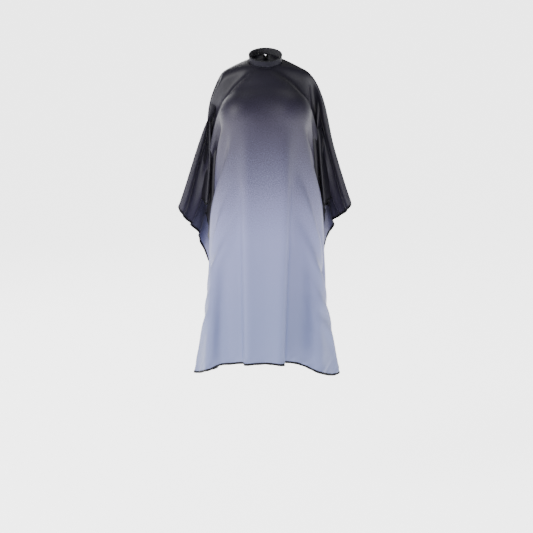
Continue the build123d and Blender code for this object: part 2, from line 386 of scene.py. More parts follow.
def loft(rings):
    """The points and faces of a skin over equal rings of points, in order, closed at both ends."""
    rings = np.asarray(rings, float)
    count, size = rings.shape[:2]
    points = rings.reshape(-1, 3)
    faces = []
    for i in range(count - 1):
        for j in range(size):
            k = (j + 1) % size
            faces.append((i * size + j, i * size + k, (i + 1) * size + k, (i + 1) * size + j))
    faces.append(tuple(range(size))[::-1])
    faces.append(tuple((count - 1) * size + j for j in range(size)))
    return points, faces


# ---- how the cloth hangs ----


class Pattern:
    """The cut sheet as a grid. The middle column is double: open at the slit and welded in front."""

    def __init__(self, half_columns, rows):
        self.middle, self.rows = half_columns, rows
        left = np.linspace(-CUT_WIDTH / 2, 0, half_columns + 1)
        across = np.concatenate([left, -left[::-1]])
        down = np.linspace(-BACK_LENGTH, FRONT_LENGTH, rows)
        u, v = np.meshgrid(across, down, indexing="ij")
        self.step = CUT_WIDTH / 2 / half_columns
        self.cut = np.stack([u, v], -1)
        self.used = np.ones(u.shape, bool)
        self.cut_neck()
        self.cut_corners()
        self.drop_hem()
        self.free = self.used & ~self.pinned
        self.welded = self.cut[half_columns, :, 1] > 0
        self.links = self.make_links()
        self.threads = [link for link in self.links if link[0] == "thread"]
        self.make_tethers()

    def cut_neck(self):
        radius = np.hypot(self.cut[..., 0], self.cut[..., 1])
        self.pinned = np.abs(radius - NECK_HOLE_RADIUS) < 0.5 * self.step
        self.used &= radius >= NECK_HOLE_RADIUS - 0.5 * self.step
        scale = np.where(self.pinned, NECK_HOLE_RADIUS / np.maximum(radius, 1e-9), 1)
        self.cut *= scale[..., None]

    def cut_corners(self):
        for side in (LEFT, RIGHT):
            centre = np.array([side * (CUT_WIDTH / 2 - CORNER_RADIUS), FRONT_LENGTH - CORNER_RADIUS])
            offset = self.cut - centre
            radius = np.hypot(offset[..., 0], offset[..., 1])
            corner = (offset[..., 0] * side > 0) & (offset[..., 1] > 0)
            self.used &= ~(corner & (radius > CORNER_RADIUS + 0.5 * self.step))
            near = corner & (np.abs(radius - CORNER_RADIUS) <= 0.5 * self.step)
            snapped = centre + offset * (CORNER_RADIUS / np.maximum(radius, 1e-9))[..., None]
            self.cut = np.where(near[..., None], snapped, self.cut)

    def drop_hem(self):
        """Lengthens the front towards its sides, growing from the neck down to the hem."""
        across, down = np.abs(self.cut[..., 0]), self.cut[..., 1]
        drop = HEM_DROP * np.minimum(1, across / HEM_DROP_ALONG) ** 2
        share = np.maximum(0, down - NECK_HOLE_RADIUS) / (FRONT_LENGTH - NECK_HOLE_RADIUS)
        self.cut[..., 1] += share * drop

    def neck_points(self):
        """Where the neck edge is sewn: the piping's ring."""
        angle = np.arctan2(-self.cut[..., 1], self.cut[..., 0]).ravel()
        flat = np.stack([np.cos(angle), np.sin(angle)], -1) * NECK_HOLE_RADIUS
        return band_points(np.hypot(flat[:, 0], flat[:, 1]), angle, -PIPING_DROP)

    def make_links(self):
        """Pairs of points with a rest distance, in groups that share no point."""
        links = []
        kinds = [
            ("thread", [(1, 0), (0, 1)]),
            ("bias", [(1, 1), (-1, 1)]),
            ("bend", [(2, 0), (0, 2)]),
            ("bias_bend", [(2, 2), (-2, 2)]),
            ("long_bend", [(4, 0), (0, 4)]),
        ]
        for kind, steps in kinds:
            for di, dj in steps:
                for parity in (0, 1):
                    links.append((kind, *self.pairs(di, dj, parity)))
        j = np.nonzero(self.welded & self.used[self.middle - 1])[0]
        a, b = (self.middle - 1) * self.rows + j, (self.middle + 2) * self.rows + j
        links.append(("bend", *self.rest(a, b)))
        return links

    def pairs(self, di, dj, parity):
        columns, rows = self.used.shape
        i = np.arange(max(0, -di), columns - max(0, di))
        i, j = (place.ravel() for place in np.meshgrid(i, np.arange(rows - dj), indexing="ij"))
        i2, j2 = i + di, j + dj
        keep = self.used[i, j] & self.used[i2, j2]
        if di != 0:
            keep &= ~((np.minimum(i, i2) <= self.middle) & (np.maximum(i, i2) > self.middle))
            keep &= (i // abs(di)) % 2 == parity
        else:
            keep &= (j // dj) % 2 == parity
        return self.rest((i * rows + j)[keep], (i2 * rows + j2)[keep])

    def rest(self, a, b):
        flat = self.cut.reshape(-1, 2)
        free = self.free.ravel()
        length = np.hypot(*(flat[a] - flat[b]).T)
        keep = (length > 1e-6) & (free[a] | free[b])
        a, b, length = a[keep], b[keep], length[keep]
        return a, b, length, free[a].astype(float), free[b].astype(float)

    def make_tethers(self):
        """The nearest sewn point to each point, and how far the cloth reaches from it."""
        flat = self.cut.reshape(-1, 2)
        sewn = np.nonzero(self.pinned.ravel())[0]
        away = np.linalg.norm(flat[:, None] - flat[None, sewn], axis=2)
        self.anchor = sewn[away.argmin(1)]
        self.reach = away.min(1)

    def hold_length(self, points):
        """Keeps every point within the cloth's reach of the neck."""
        offset = points - points[self.anchor]
        distance = np.linalg.norm(offset, axis=1) + 1e-9
        points[:] = points[self.anchor] + offset * np.minimum(1, self.reach / distance)[:, None]

    def weld(self, points):
        j = np.nonzero(self.welded & self.used[self.middle])[0]
        a, b = self.middle * self.rows + j, (self.middle + 1) * self.rows + j
        points[a] = points[b] = (points[a] + points[b]) / 2


def band_points(radius, angle, height):
    """Points from polar places about the neckband's axis. angle is in radians."""
    y = radius * np.sin(angle)
    lean, upright = math.sin(TILT), math.cos(TILT)
    return np.stack([radius * np.cos(angle), y * upright - height * lean, y * lean + height * upright], -1)


FRICTION = 0.35


class Form:
    """The wearer or display form under the cloth: rounded cones and ellipsoids. It isn't drawn."""

    def __init__(self):
        self.cones, self.balls = [], []
        for side in (LEFT, RIGHT):
            self.cone((side * .01, .012, -.062), (side * .144, .012, -.064), .060, .018)
            self.cone((side * .142, .012, -.068), (side * .138, .0, -.20), .018, .024)
            self.ball((side * .080, -.072, -.205), (.085, .088, .095))
        self.ball((0, .0, -.20), (.150, .115, .150))
        self.ball((0, .0, -.38), (.125, .095, .22))
        self.ball((0, .0, -.58), (.160, .115, .17))
        self.cone((0, .01, -.06), (0, -.01, .03), .062, .050)
        self.ball((0, .045, -.17), (.13, .078, .14))

    def cone(self, a, b, radius_a, radius_b):
        self.cones.append((np.array(a), np.array(b), radius_a, radius_b))

    def ball(self, centre, radii):
        self.balls.append((np.array(centre), np.array(radii)))

    def push_out(self, points, before, free, gap):
        for a, b, radius_a, radius_b in self.cones:
            axis = b - a
            t = np.clip((points - a) @ axis / (axis @ axis), 0, 1)
            offset = points - a - t[:, None] * axis
            distance = np.linalg.norm(offset, axis=1) + 1e-12
            depth = radius_a + (radius_b - radius_a) * t + gap - distance
            self.slide(points, before, free, offset / distance[:, None], depth)
        for centre, radii in self.balls:
            scaled = (points - centre) / (radii + gap)
            level = np.linalg.norm(scaled, axis=1) + 1e-12
            slope = scaled / (radii + gap)
            steepness = np.linalg.norm(slope, axis=1) + 1e-12
            depth = (1 - level) * level / steepness
            self.slide(points, before, free, slope / steepness[:, None], depth)

    @staticmethod
    def slide(points, before, free, normal, depth):
        hit = np.nonzero((depth > 0) & free)[0]
        n, d = normal[hit], depth[hit]
        points[hit] += n * d[:, None]
        moved = points[hit] - before[hit]
        along = moved - (moved * n).sum(1)[:, None] * n
        length = np.linalg.norm(along, axis=1) + 1e-12
        points[hit] -= along * np.minimum(1, FRICTION * d / length)[:, None]


def fold_targets(pattern):
    """Where the folds lead each point: its index, place (nan where free) and weight."""
    u, v = pattern.cut[..., 0].ravel(), pattern.cut[..., 1].ravel()
    target, weight = np.full((len(u), 3), np.nan), np.zeros(len(u))
    for side in (RIGHT, LEFT):
        for lead in (lead_sides, lead_front, lead_back):
            lead(side, u, v, pattern.used.ravel(), target, weight)
    index = np.nonzero(weight > 0)[0]
    return index, target[index], weight[index]


def lead_sides(side, u, v, used, target, weight):
    folds = np.array(SIDE_FOLDS[side])
    beyond = np.abs(u) - SHOULDER_ALONG
    reach = np.hypot(beyond, v)
    angle = np.degrees(np.arctan2(beyond, v))
    chosen = used & (u * side > SHOULDER_ALONG) & (reach >= SIDE_NEAR)
    chosen &= (angle >= folds[0, 0]) & (angle <= folds[-1, 0])
    out = np.interp(angle[chosen], folds[:, 0], folds[:, 1])
    back = np.interp(angle[chosen], folds[:, 0], folds[:, 2])
    down = np.sqrt(1 - out**2 - back**2)
    direction = np.stack([out * side, back, -down], -1)
    target[chosen] = SHOULDER * (side, 1, 1) + reach[chosen, None] * direction
    weight[chosen] = np.minimum(1, (reach[chosen] + SIDE_START) / SIDE_FULL)


def section(folds):
    """A section across the front as (along, across, depth) columns."""
    folds = np.array(folds)
    along = np.append(0, np.cumsum(np.hypot(*np.diff(folds, axis=0).T)))
    return np.column_stack([along, folds])


def place_on(row, along):
    return np.array([np.interp(along, row[:, 0], row[:, axis]) for axis in (1, 2)])


def lead_front(side, u, v, used, target, weight):
    """The front runs from section to section, down from the yoke."""
    yoke, bust, hem = section(YOKE_FOLDS), section(BUST_FOLDS[side]), section(HEM_FOLDS[side])
    for k in np.nonzero(used & (u * side >= -1e-9) & (v >= YOKE_ROW))[0]:
        if v[k] < BUST_ROW:
            fall = (v[k] - YOKE_ROW) / (BUST_ROW - YOKE_ROW)
            start, end = place_on(yoke, abs(u[k])), place_on(bust, abs(u[k]))
            edge = yoke[-1, 0] + (bust[-1, 0] - yoke[-1, 0]) * fall
            x, y = start + (end - start) * fall
            hold = YOKE_HOLD * (abs(u[k]) > YOKE_FREE)
        else:
            fall = (v[k] - BUST_ROW) / (FRONT_LENGTH - BUST_ROW)
            row = bust + (hem - bust) * fall
            edge = row[-1, 0]
            x, y = place_on(row, abs(u[k]))
            hold = min(1, fall * FRONT_GROWTH + FRONT_HOLD)
        if abs(u[k]) <= edge:
            target[k] = (x * side, y, np.nan)
            weight[k] = hold


def lead_back(side, u, v, used, target, weight):
    """The back hangs straight from the shoulder blades, with the slit closed."""
    chosen = used & (u * side > -1e-9) & (np.abs(u) <= SHOULDER_ALONG) & (v < -BACK_ROW)
    across = side * (SLIT_GAP + BACK_GATHER * np.abs(u[chosen]))
    back = BACK_DEPTH - BACK_SLOPE * v[chosen]
    target[chosen] = np.stack([across, back, np.full(len(back), np.nan)], -1)
    weight[chosen] = BACK_HOLD


# how far each kind of link gives way; a thread doesn't
SOFTNESS = {"thread": 0.0, "bias": 4e-6, "bend": 5e-5, "bias_bend": 5e-5, "long_bend": 2e-3}
TIME_STEP = 1 / 720
GRAVITY = 9.81
START_HEIGHT, START_LEAN_REACH = -0.015, 0.08
# the most that a fold leads a point in one step
MOST_LEAD = 4 * MM


def let_hang(pattern, points, steps, time_step, gravity, lead, drag, gap):
    """Lets the sheet fall over the form. gravity, lead and drag map progress, 0 to 1, to a value."""
    form = Form()
    free = pattern.free.ravel()
    speed = np.zeros_like(points)
    index, target, weight = fold_targets(pattern)
    unled = np.isnan(target)
    target = np.where(unled, 0, target)
    weight = weight * free[index]
    for n in range(steps):
        progress = n / steps
        before = points.copy()
        speed[free, 2] -= gravity(progress) * time_step
        speed *= drag(progress)
        points = points + speed * time_step * free[:, None]
        pull = np.where(unled, 0, target - points[index])
        length = np.linalg.norm(pull, axis=1) + 1e-9
        strength = lead(progress) * weight * np.minimum(1, MOST_LEAD / length)
        points[index] += pull * strength[:, None]
        for kind, a, b, rest, free_a, free_b in pattern.links + pattern.threads * 2:
            gap_ab = points[a] - points[b]
            distance = np.sqrt((gap_ab * gap_ab).sum(1)) + 1e-12
            excess = (distance - rest) / (free_a + free_b + SOFTNESS[kind] / time_step**2)
            if "bend" in kind:
                excess = np.minimum(excess, 0)
            shift = gap_ab * (excess / distance)[:, None]
            points[a] -= shift * free_a[:, None]
            points[b] += shift * free_b[:, None]
        pattern.hold_length(points)
        pattern.weld(points)
        form.push_out(points, before, free, gap)
        speed = (points - before) / time_step
    return points


NEIGHBOURS = ((0, 1), (0, -1), (1, 1), (1, -1))


def fill_unused(pattern, points):
    """Gives the unused grid places around the cut points that carry its surface on."""
    grid, known = points.reshape(pattern.used.shape + (3,)).copy(), pattern.used.copy()
    while not known.all():
        total, count = np.zeros_like(grid), np.zeros(known.shape)
        for axis, shift in NEIGHBOURS:
            near, near_known = np.roll(grid, shift, axis), np.roll(known, shift, axis)
            far, far_known = np.roll(grid, 2 * shift, axis), np.roll(known, 2 * shift, axis)
            carried = np.where((near_known & far_known)[..., None], 2 * near - far, near)
            total += carried * near_known[..., None]
            count += near_known
        new = ~known & (count > 0)
        grid[new] = total[new] / count[new][:, None]
        known |= new
    return grid


def doubled(line):
    """Twice as many points along the first axis, on a smooth curve through the old ones."""
    fine = np.empty((2 * len(line) - 1, *line.shape[1:]))
    fine[0::2] = line
    ends = np.concatenate([2 * line[:1] - line[1:2], line, 2 * line[-1:] - line[-2:-1]])
    fine[1::2] = (9 * (ends[1:-2] + ends[2:-1]) - ends[:-3] - ends[3:]) / 16
    return fine


def refine(coarse, points, fine):
    """The coarse sheet's points carried over to one with twice as many columns and rows."""
    grid = fill_unused(coarse, points)
    halves = []
    for half in (grid[:coarse.middle + 1], grid[coarse.middle + 1:]):
        half = doubled(half)
        halves.append(doubled(half.transpose(1, 0, 2)).transpose(1, 0, 2))
    points = np.concatenate(halves).reshape(-1, 3)
    pinned = fine.pinned.ravel()
    points[pinned] = fine.neck_points()[pinned]
    return points


def soften(pattern, points, times):
    """Evens out the sheet point by point, keeping its edges' line."""
    grid = points.reshape(pattern.used.shape + (3,)).copy()
    columns, rows = pattern.used.shape
    m = pattern.middle
    for _ in range(times):
        total, count = np.zeros_like(grid), np.zeros((columns, rows))
        for axis, shift in NEIGHBOURS:
            near, known = np.roll(grid, shift, axis), np.roll(pattern.used, shift, axis).copy()
            if axis == 0:
                known[[0, m + 1] if shift == 1 else [m, columns - 1]] = False
            else:
                known[:, 0 if shift == 1 else rows - 1] = False
            total += near * known[..., None]
            count += known
        for here, there in ((m, m + 2), (m + 1, m - 1)):
            total[here, pattern.welded] += grid[there, pattern.welded]
            count[here, pattern.welded] += 1
        inside = (count >= 4) & pattern.free
        grid[inside] += 0.5 * (total[inside] / count[inside][:, None] - grid[inside])
        edge = (count == 3) & pattern.free
        edge[:, [0, -1]] &= False
        for i in (0, columns - 1):
            chosen = np.nonzero(edge[i])[0]
            grid[i, chosen] += 0.25 * (grid[i, chosen - 1] + grid[i, chosen + 1] - 2 * grid[i, chosen])
    points = grid.reshape(-1, 3)
    pattern.weld(points)
    return points


def curve(*places):
    """A function through (progress, value) places."""
    return lambda progress: np.interp(progress, *zip(*places))


def drape():
    """The cut sheet hung over the form, first coarse and then fine: (pattern, points)."""
    coarse, fine = Pattern(24, 61), Pattern(48, 121)
    flat = coarse.cut.reshape(-1, 2)
    radius = np.hypot(flat[:, 0], flat[:, 1])
    # it starts flat, just below the neck, and leans like the neck close to it
    points = np.stack([flat[:, 0], -flat[:, 1], np.full(len(flat), START_HEIGHT)], -1)
    lean = np.exp(-(radius - NECK_HOLE_RADIUS) / START_LEAN_REACH)
    points[:, 2] += points[:, 1] * math.tan(TILT) * lean
    pinned = coarse.pinned.ravel()
    points[pinned] = coarse.neck_points()[pinned]
    points = let_hang(
        coarse, points, steps=1300, time_step=TIME_STEP, gap=4 * MM,
        gravity=curve((0, GRAVITY), (0.6, GRAVITY), (0.8, 0.3 * GRAVITY), (1, 0.1 * GRAVITY)),
        lead=curve((0, 0), (0.15, 0.01), (0.5, 0.08), (0.85, 0.10), (1, 0.03)),
        drag=lambda progress: 0.985 if progress < 0.7 else 0.97,
    )
    points = refine(coarse, soften(coarse, points, 3), fine)
    points = let_hang(
        fine, points, steps=250, time_step=0.7 * TIME_STEP, gap=3 * MM,
        gravity=curve((0, 0.1 * GRAVITY), (0.5, 0), (1, 0)),
        lead=curve((0, 0.05), (0.5, 0.03), (1, 0.01)),
        drag=lambda progress: 0.97,
    )
    return fine, soften(fine, points, 2)


# ---- cloth mesh and bindings ----


def cloth_mesh(pattern, points, material):
    columns, rows = pattern.used.shape
    used = pattern.used.ravel()
    number = np.cumsum(used) - 1
    # the middle's two columns are one where they are welded
    weld = {}
    for j in np.nonzero(pattern.welded & pattern.used[pattern.middle])[0]:
        weld[(pattern.middle + 1) * rows + j] = pattern.middle * rows + j
    faces = []
    for i in range(columns - 1):
        if i == pattern.middle:
            continue
        for j in range(rows - 1):
            ring = (i * rows + j, (i + 1) * rows + j, (i + 1) * rows + j + 1, i * rows + j + 1)
            ring = [k for k in ring if used[k]]
            if len(ring) >= 3:
                faces.append([number[weld.get(k, k)] for k in ring])
    flat = pattern.cut.reshape(-1, 2)[used]
    uvs = (flat + (CUT_WIDTH / 2, BACK_LENGTH)) / CUT_LENGTH
    cloth = add_mesh("cape_sheet", points[used], faces, material, uvs)
    shape = bmesh.new()
    shape.from_mesh(cloth.data)
    loose = [v for v in shape.verts if not v.link_faces]
    bmesh.ops.delete(shape, geom=loose, context="VERTS")
    shape.to_mesh(cloth.data)
    shape.free()
    finer = cloth.modifiers.new("finer", "SUBSURF")
    finer.levels = finer.render_levels = 1
    apply_modifiers(cloth)
    return cloth


PUCKER_DEPTH, PUCKER_REACH = 0.9 * MM, 0.022
# waves along the edge: size, length and start
PUCKERS = ((1.0, 0.052, 0.4), (0.8, 0.033, 2.0), (0.9, 0.087, 4.1))


def pucker(cloth):
    """Small gathers beside the bound edges, where the binding's stitches draw the cloth up."""
    mesh = cloth.data
    count = len(mesh.vertices)
    place, normal = np.empty(count * 3), np.empty(count * 3)
    mesh.vertices.foreach_get("co", place)
    mesh.vertices.foreach_get("normal", normal)
    cut = cut_places(mesh)
    beside = np.minimum(CUT_WIDTH / 2 - np.abs(cut[:, 0]), FRONT_LENGTH - cut[:, 1])
    beside = np.minimum(beside, cut[:, 1] + BACK_LENGTH)
    inner = np.abs(cut) - (CUT_WIDTH / 2 - CORNER_RADIUS, FRONT_LENGTH - CORNER_RADIUS)
    corner = (inner[:, 0] > 0) & (inner[:, 1] > 0) & (cut[:, 1] > 0)
    beside = np.where(corner, CORNER_RADIUS - np.hypot(inner[:, 0], inner[:, 1]), beside)
    along = cut.sum(1)
    wave = np.zeros(count)
    for size, length, turn in PUCKERS:
        wave += size * np.sin(2 * math.pi * along / length + turn)
    depth = PUCKER_DEPTH * wave * np.exp(-np.maximum(beside, 0) / PUCKER_REACH)
    place += (normal.reshape(-1, 3) * depth[:, None]).ravel()
    mesh.vertices.foreach_set("co", place)
    mesh.update()


def cut_places(mesh):
    """Each vertex's place in the cut sheet, from the mesh's uv map."""
    uvs, index = np.empty(len(mesh.loops) * 2), np.empty(len(mesh.loops), int)
    mesh.uv_layers["cut"].data.foreach_get("uv", uvs)
    mesh.loops.foreach_get("vertex_index", index)
    cut = np.zeros((len(mesh.vertices), 2))
    cut[index] = uvs.reshape(-1, 2)
    return cut * CUT_LENGTH - (CUT_WIDTH / 2, BACK_LENGTH)


class Edge:
    """A run of the sheet's edge: points, and the surface at any distance in from them."""

    def __init__(self, surface, points, normals, inward):
        self.surface, self.points, self.normals, self.inward = surface, points, normals, inward
        steps = np.linalg.norm(np.diff(points, axis=0), axis=1)
        self.along = np.append(0, np.cumsum(steps))

    def at(self, inset):
        """Surface points and normals at that distance in from the edge."""
        places, normals = [], []
        for point, normal, inward in zip(self.points, self.normals, self.inward):
            if inset <= 0:
                places.append(point + inward * inset)
                normals.append(normal)
                continue
            near, facing, _, _ = self.surface.find_nearest(Vector(point + inward * inset))
            facing = np.array(facing)
            places.append(np.array(near))
            normals.append(facing if facing @ normal > 0 else -facing)
        return np.array(places), np.array(normals)


CLOSE = 1 * MM


def edge_runs(cloth):
    """The sheet's bound edges: left side of the slit, the outside, right side of the slit."""
    mesh = cloth.data
    cut = cut_places(mesh)
    shape = bmesh.new()
    shape.from_mesh(mesh)
    shape.normal_update()
    shape.verts.ensure_lookup_table()
    surface = BVHTree.FromBMesh(shape)
    on_edge = {v.index for v in shape.verts if v.is_boundary}
    neck = {k for k in on_edge if np.hypot(*cut[k]) < NECK_HOLE_RADIUS + CLOSE}
    waiting = on_edge - neck

    def beside(k, on_boundary):
        vert = shape.verts[k]
        return [e.other_vert(vert) for e in vert.link_edges if e.is_boundary == on_boundary]

    def next_waiting(k):
        return [v.index for v in beside(k, True) if v.index in waiting]

    # the walk goes from the top of the slit's left edge round to the top of its right edge
    slit_tops = [k for k in neck if cut[k][1] < 0 and next_waiting(k)]
    here = min(slit_tops, key=lambda k: abs(cut[k][0]) * 100 + shape.verts[k].co.x)
    chain = [here]
    waiting |= set(slit_tops) - {here}
    while ahead := next_waiting(chain[-1]):
        chain.append(ahead[0])
        waiting.discard(ahead[0])
    place = np.array([shape.verts[k].co for k in chain])
    normal = np.array([shape.verts[k].normal for k in chain])
    middle = []
    for k in chain:
        near = [v.co for v in beside(k, False)]
        middle.append(np.mean(np.array(near), 0) if near else np.array(shape.verts[k].co))
    tangent = np.gradient(place, axis=0)
    inward = np.cross(normal, tangent)
    inward /= np.linalg.norm(inward, axis=1)[:, None]
    inward *= np.sign(((np.array(middle) - place) * inward).sum(1))[:, None]
    for k, sign in enumerate((inward[1:-1] * inward[:-2]).sum(1)):
        if sign < 0:
            inward[k + 1] *= -1
    shape.free()
    slit = np.abs(cut[chain][:, 0]) < CLOSE
    slit &= cut[chain][:, 1] < 0
    first = int(np.argmin(slit))
    last = len(slit) - int(np.argmin(slit[::-1]))
    runs = []
    for start, stop in ((0, first), (first - 1, last + 1), (last, len(chain))):
        runs.append(Edge(surface, place[start:stop], normal[start:stop], inward[start:stop]))
    return runs


TAPE_THICK = 0.35 * MM
TAPE_HEIGHT = 0.85 * MM
TAPE_INSETS = (8.0, 7.7, 5.5, 3.0, 0.9)


def tape_profile():
    """The folded tape's outline as (inset, height): outside, round the edge, and back inside."""
    outer = [(inset * MM, TAPE_HEIGHT) for inset in TAPE_INSETS]
    outer[0] = (outer[0][0], TAPE_HEIGHT - 0.15 * MM)
    fold = [(-0.3 * MM, 0.75 * TAPE_HEIGHT), (-0.8 * MM, 0)]
    half = outer + fold
    whole = half + [(inset, -height) for inset, height in reversed(half[:-1])]
    inner = []
    for inset, height in reversed(whole):
        side = np.sign(height)
        inner.append((max(inset, 0.1 * MM), side * min(abs(height), TAPE_HEIGHT - TAPE_THICK)))
    return whole + inner


def make_binding(name, node, run, material):
    profile = tape_profile()
    cache = {}
    columns = []
    swell = 1 + 0.16 * np.sin(run.along / 0.0035) * np.sin(run.along / 0.0161 + 1)
    for inset, height in profile:
        if inset not in cache:
            cache[inset] = run.at(inset)
        places, normals = cache[inset]
        columns.append(places + normals * (height * swell)[:, None])
    rings = np.stack(columns, 1)
    points, faces = loft(rings)
    across = np.array([inset if height > 0 else 0.02 - inset for inset, height in profile])
    uvs = np.stack(np.broadcast_arrays(run.along[:, None], across[None]), -1).reshape(-1, 2)
    tape = add_mesh(name, points, faces, material, uvs)
    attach(tape, "cape")
    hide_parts(node)
    return tape


# ---- stitches ----


STITCH_PITCH, STITCH_LENGTH, STITCH_WIDTH = 3.2 * MM, 2.3 * MM, 0.42 * MM


def make_stitches(name, rows, body, material):
    """Rows of stitches. A row is its points, its surface normals and how high it stands."""
    shape = []
    for x, size in ((-0.5, 0.25), (-0.3, 1), (0.3, 1), (0.5, 0.25)):
        for k in range(6):
            turn = k * math.pi / 3
            shape.append((x, size * math.cos(turn), size * math.sin(turn)))
    _, ring_faces = loft(np.array(shape).reshape(4, 6, 3))
    points, faces = [], []
    for line, normals, lift in rows:
        along = np.append(0, np.cumsum(np.linalg.norm(np.diff(line, axis=0), axis=1)))
        middles = np.arange(STITCH_PITCH, along[-1] - STITCH_PITCH, STITCH_PITCH)

        def place(at):
            return np.stack([np.interp(at, along, line[:, axis]) for axis in range(3)], -1)

        start, end = place(middles - STITCH_LENGTH / 2), place(middles + STITCH_LENGTH / 2)
        up = np.stack([np.interp(middles, along, normals[:, axis]) for axis in range(3)], -1)
        up /= np.linalg.norm(up, axis=1)[:, None]
        forward = end - start
        side = np.cross(up, forward)
        side /= np.linalg.norm(side, axis=1)[:, None]
        centre = (start + end) / 2 + up * lift
        for c, f, s, n in zip(centre, forward, side, up):
            first = len(points) * len(shape)
            x, y, z = np.array(shape).T
            thick = np.outer(y, s) * STITCH_WIDTH / 2
            points.append(c + np.outer(x, f) + thick + np.outer(z, n) * STITCH_WIDTH / 2)
            faces.extend(tuple(first + k for k in face) for face in ring_faces)
    stitches = add_mesh(name, np.concatenate(points), faces, material)
    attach(stitches, body)
    return stitches


# ---- neckband, tab and label ----


LINING_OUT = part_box("neckband_lining")[1].x
INTERLINING_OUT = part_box("neckband_interlining")[1].x
OUTER_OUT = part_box("neckband_outer")[1].x
EDGE_TAPE_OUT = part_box("neckband_edge_tape")[1].x
BAND_STEP = math.radians(1.5)
CORD_SIDES = 14


def rounded_outline(inside, outside, low, high, bulge=0.0):
    """A closed (radius, height) outline of a thin layer, with soft corners and a crowned outside."""
    soft = (outside - inside) * 0.35
    outline = []
    for t in np.linspace(0, 1, 7):
        height = low + soft + (high - low - 2 * soft) * t
        outline.append((outside + bulge * (1 - (2 * t - 1) ** 2), height))
    outline += [(outside - soft, high), (inside + soft, high), (inside, high - soft)]
    outline += [(inside, low + soft), (inside + soft, low), (outside - soft, low)]
    return outline


def swept(name, outline_at, start, end, material, slot, body="cape", node=None):
    """A layer swept round the band. outline_at gives the (radius, height) outline at an angle."""
    angles = np.arange(math.radians(start), math.radians(end), BAND_STEP)
    angles = np.append(angles, math.radians(end))
    rings, uvs = [], []
    for angle in angles:
        outline = np.array(outline_at(angle))
        rings.append(band_points(outline[:, 0], angle, outline[:, 1]))
        uvs.append(np.stack([np.full(len(outline), (angle + 6) * outline[0, 0]), outline[:, 1] + 0.02], -1))
    points, faces = loft(np.array(rings))
    piece = add_mesh(name, points, faces, material, np.concatenate(uvs))
    if node:
        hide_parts(node)
    if body:
        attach(piece, body)
    return piece


def ripple(angle, count, turn=0.0):
    """A gentle uneven wave round the band, from -1 to 1."""
    return 0.6 * math.sin(count * angle + turn) + 0.4 * math.sin(1.7 * count * angle + 2 * turn)


def make_neckband(satin, tape, lining, felt, thread):
    def outer(angle):
        bulge = (0.22 + 0.10 * ripple(angle, 31)) * MM
        return rounded_outline(OUTER_OUT - 1.0 * MM, OUTER_OUT - 0.3 * MM, -HALF_BAND, HALF_BAND, bulge)

    def stiffener(angle):
        half = HALF_BAND - 1.5 * MM
        return rounded_outline(LINING_OUT + 0.1 * MM, INTERLINING_OUT, -half, half)

    def inner(angle):
        wave = 0.08 * MM * ripple(angle, 23, 1)
        return rounded_outline(LINING_OUT - 0.7 * MM + wave, LINING_OUT, -HALF_BAND, HALF_BAND)

    def edge(angle):
        wave = 0.07 * MM * ripple(angle, 57, 2)
        top, leg = HALF_BAND + 0.6 * MM, HALF_BAND - 4.0 * MM
        out, under = EDGE_TAPE_OUT + wave, HALF_BAND + 0.12 * MM
        inside = LINING_OUT - 0.5 * MM
        return [
            (out, leg), (out, top - 0.5 * MM), (out - 0.25 * MM, top - 0.1 * MM), (out - 0.7 * MM, top),
            (inside + 0.3 * MM, top), (inside, top - 0.15 * MM), (inside, under),
            (OUTER_OUT + 0.05 * MM, under), (OUTER_OUT + 0.05 * MM, leg),
        ]

    def cord(angle):
        size = PIPING_RADIUS * (1 - 0.04 + 0.04 * ripple(angle, 90))
        turns = np.arange(CORD_SIDES) * 2 * math.pi / CORD_SIDES
        return [(PIPING_RING + size * math.cos(t), -PIPING_DROP + size * math.sin(t)) for t in turns]

    start, end = BAND_START, BAND_END
    swept("neckband_satin", outer, start, end, satin, "band_fabric", node="neckband_outer")
    swept("neckband_stiffener", stiffener, start, end, felt, "interlining", node="neckband_interlining")
    swept("neckband_inner", inner, start, end, lining, "lining_fabric", node="neckband_lining")
    swept("neckband_top_tape", edge, start, end, tape, "binding_tape", node="neckband_edge_tape")
    # the cord's ends meet behind, a hair apart
    swept("neck_piping_cord", cord, 90.05, 449.95, satin, "band_fabric", node="neck_piping")
    angles = np.arange(math.radians(start + 2), math.radians(end - 2), BAND_STEP)
    normals = band_points(1, angles, 0)
    rows = []
    seams = ((EDGE_TAPE_OUT, HALF_BAND - 3.2 * MM), (OUTER_OUT - 0.22 * MM, -HALF_BAND + 3.0 * MM))
    for radius, height in seams:
        rows.append((band_points(radius, angles, height), normals, 0.08 * MM))
    make_stitches("neckband_stitches", rows, "cape", thread)


TAB_HALF_HEIGHT, TAB_TIP_RADIUS = 11 * MM, 8 * MM


def tab_half(angle):
    """Half the tab's height: rounded off towards its free end."""
    from_tip = (angle - math.radians(TAB_END)) * OUTER_OUT
    if from_tip >= TAB_TIP_RADIUS:
        return TAB_HALF_HEIGHT
    drop = TAB_TIP_RADIUS - math.sqrt(max(TAB_TIP_RADIUS**2 - (TAB_TIP_RADIUS - from_tip) ** 2, 0))
    return TAB_HALF_HEIGHT - drop


